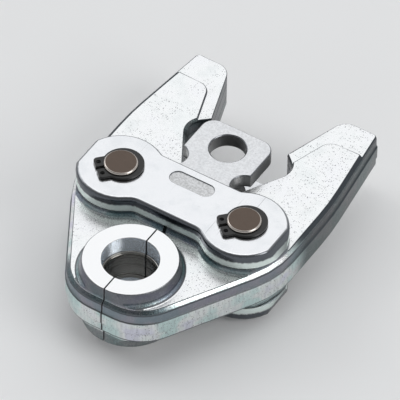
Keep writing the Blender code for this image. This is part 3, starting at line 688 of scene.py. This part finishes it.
class OBJECT_OT_forged_jaws(bpy.types.Operator):
    """Add the two forged jaws"""

    bl_idname = "pressing_jaw.forged_jaws"
    bl_label = "Forged jaws"

    def execute(self, context):
        material = jaw_zinc()
        for hand in ("left", "right"):
            node = f"{hand}_jaw"
            dressed_copy(node, f"{hand}_jaw_forging", node, material,
                         settings().edge_radius, reshape=(sharpen_bore, round_slopes))
        return {"FINISHED"}


class OBJECT_OT_side_plates(bpy.types.Operator):
    """Add the two T-shaped side plates"""

    bl_idname = "pressing_jaw.side_plates"
    bl_label = "Side plates"

    def execute(self, context):
        material = plate_zinc()
        for level in ("top", "bottom"):
            dressed_copy(f"{level}_side_plate", f"{level}_plate", "side_frame",
                         material, settings().edge_radius)
        return {"FINISHED"}


class OBJECT_OT_pivot_pins(bpy.types.Operator):
    """Add the two pivot pins"""

    bl_idname = "pressing_jaw.pivot_pins"
    bl_label = "Pivot pins"

    def execute(self, context):
        material = pin_steel()
        for hand in ("left", "right"):
            dressed_copy(f"{hand}_pivot_pin", f"{hand}_pin", "side_frame", material,
                         settings().pin_edge_radius)
        return {"FINISHED"}


class OBJECT_OT_retaining_rings(bpy.types.Operator):
    """Add the four retaining rings"""

    bl_idname = "pressing_jaw.retaining_rings"
    bl_label = "Retaining rings"

    def execute(self, context):
        material = ring_black()
        for level in ("upper", "lower"):
            for hand in ("left", "right"):
                dressed_copy(f"{level}_{hand}_retaining_ring", f"{level}_{hand}_ring",
                             "side_frame", material, settings().ring_edge_radius)
        return {"FINISHED"}


class OBJECT_OT_closing_spring(bpy.types.Operator):
    """Add the closing spring, each half seated in its jaw"""

    bl_idname = "pressing_jaw.closing_spring"
    bl_label = "Closing spring"

    def execute(self, context):
        material = spring_wire()
        low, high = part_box("closing_spring")
        for hand, side, far_end in (("left", -1.0, low), ("right", 1.0, high)):
            half = dressed_copy("closing_spring", f"{hand}_spring_half", f"{hand}_jaw",
                                material, 0.0, WIRE_SHARP_ANGLE,
                                reshape=(half_of_spring(side),))
            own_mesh(half)
        return {"FINISHED"}


def look_direction(azimuth, elevation):
    """Unit vector from the object toward a place seen at these angles."""
    level = math.cos(elevation)
    return Vector((math.sin(azimuth) * level, -math.cos(azimuth) * level, math.sin(elevation)))


def add_camera():
    """Long lens, aimed and rolled as in the photograph."""
    back = look_direction(CAMERA_AZIMUTH, CAMERA_ELEVATION)
    right = Vector((math.cos(CAMERA_AZIMUTH), math.sin(CAMERA_AZIMUTH), 0.0))
    up = back.cross(right)
    turned_right = right * math.cos(CAMERA_ROLL) + up * math.sin(CAMERA_ROLL)
    turned_up = up * math.cos(CAMERA_ROLL) - right * math.sin(CAMERA_ROLL)
    target = Vector((0.0, BORE_Y + CAMERA_TARGET_PAST_BORE, MIDDLE_Z))
    target += right * CAMERA_TARGET_RIGHT + up * CAMERA_TARGET_UP
    data = bpy.data.cameras.new("camera")
    data.sensor_width = SENSOR_WIDTH
    data.lens = SENSOR_WIDTH * FOCAL_PIXELS / IMAGE_PIXELS
    data.clip_start = CLIP_NEAR
    data.clip_end = CLIP_FAR
    camera = bpy.data.objects.new("camera", data)
    bpy.context.scene.collection.objects.link(camera)
    camera.matrix_world = Matrix.Translation(target + back * CAMERA_DISTANCE) @ Matrix(
        (turned_right, turned_up, back)).transposed().to_4x4()
    bpy.context.scene.camera = camera


def add_softbox(name, azimuth, elevation, distance, size, radiance):
    """Square lamp facing the object, its strength given as radiance."""
    data = bpy.data.lights.new(name, "AREA")
    data.shape = "SQUARE"
    data.size = size
    data.energy = radiance * math.pi * size * size
    lamp = bpy.data.objects.new(name, data)
    bpy.context.scene.collection.objects.link(lamp)
    toward = look_direction(math.radians(azimuth), math.radians(elevation))
    lamp.location = toward * distance
    lamp.rotation_mode = "QUATERNION"
    lamp.rotation_quaternion = toward.to_track_quat("Z", "Y")


def add_sky():
    """Studio surroundings: a wide bright cove behind and above, a low bright band all round."""
    world = bpy.data.worlds.new("studio")
    bpy.context.scene.world = world
    world.use_nodes = True
    sky = Nodes(world.node_tree)
    place = sky.node("ShaderNodeTexCoord", output="Generated")
    middle = tuple(look_direction(COVE_AZIMUTH, COVE_ELEVATION))
    toward = sky.vector_math("DOT_PRODUCT", place, middle, output="Value")
    low_band = sky.ramp(sky.split(place)[2], *LOW_BAND_EDGE) * LOW_BAND_STRENGTH
    strength = LEAST_STRENGTH + sky.ramp(toward, *COVE_EDGE) * COVE_STRENGTH
    strength = strength.math("MAXIMUM", low_band)
    light = sky.node("ShaderNodeBackground", values={"Color": SKY_COLOUR, "Strength": strength})
    sky.node("ShaderNodeOutputWorld", values={"Surface": light})


def add_floor():
    shape = bmesh.new()
    bmesh.ops.create_circle(shape, cap_ends=True, segments=FLOOR_SIDES, radius=FLOOR_RADIUS)
    mesh = bpy.data.meshes.new("floor")
    shape.to_mesh(mesh)
    shape.free()
    mesh.materials.append(floor_paint())
    floor = bpy.data.objects.new("floor", mesh)
    bpy.context.scene.collection.objects.link(floor)


class OBJECT_OT_studio(bpy.types.Operator):
    """Add the floor, the lights and the camera"""

    bl_idname = "pressing_jaw.studio"
    bl_label = "Studio"

    def execute(self, context):
        add_floor()
        add_sky()
        for name, figures in SOFTBOXES.items():
            add_softbox(name, *figures)
        add_camera()
        context.scene.view_settings.view_transform = "Standard"
        return {"FINISHED"}


class VIEW3D_PT_pressing_jaw(bpy.types.Panel):
    """Sizes, colours and pieces of the pressing jaw"""

    bl_label = "Pressing jaw"
    bl_idname = "VIEW3D_PT_pressing_jaw"
    bl_space_type = "VIEW_3D"
    bl_region_type = "UI"
    bl_category = "Pressing jaw"

    def draw(self, context):
        for name in ToolJawSettings.__annotations__:
            self.layout.prop(context.scene.pressing_jaw, name)
        for operator in OPERATORS:
            self.layout.operator(operator.bl_idname)


OPERATORS = (
    OBJECT_OT_forged_jaws,
    OBJECT_OT_side_plates,
    OBJECT_OT_pivot_pins,
    OBJECT_OT_retaining_rings,
    OBJECT_OT_closing_spring,
    OBJECT_OT_studio,
)
CLASSES = (ToolJawSettings, *OPERATORS, VIEW3D_PT_pressing_jaw)


def register():
    for kind in CLASSES:
        bpy.utils.register_class(kind)
    bpy.types.Scene.pressing_jaw = PointerProperty(type=ToolJawSettings)


def unregister():
    del bpy.types.Scene.pressing_jaw
    for kind in reversed(CLASSES):
        bpy.utils.unregister_class(kind)


def main():
    register()
    bpy.ops.pressing_jaw.forged_jaws()
    bpy.ops.pressing_jaw.side_plates()
    bpy.ops.pressing_jaw.pivot_pins()
    bpy.ops.pressing_jaw.retaining_rings()
    bpy.ops.pressing_jaw.closing_spring()
    bpy.ops.pressing_jaw.studio()


if __name__ == "__main__":
    main()
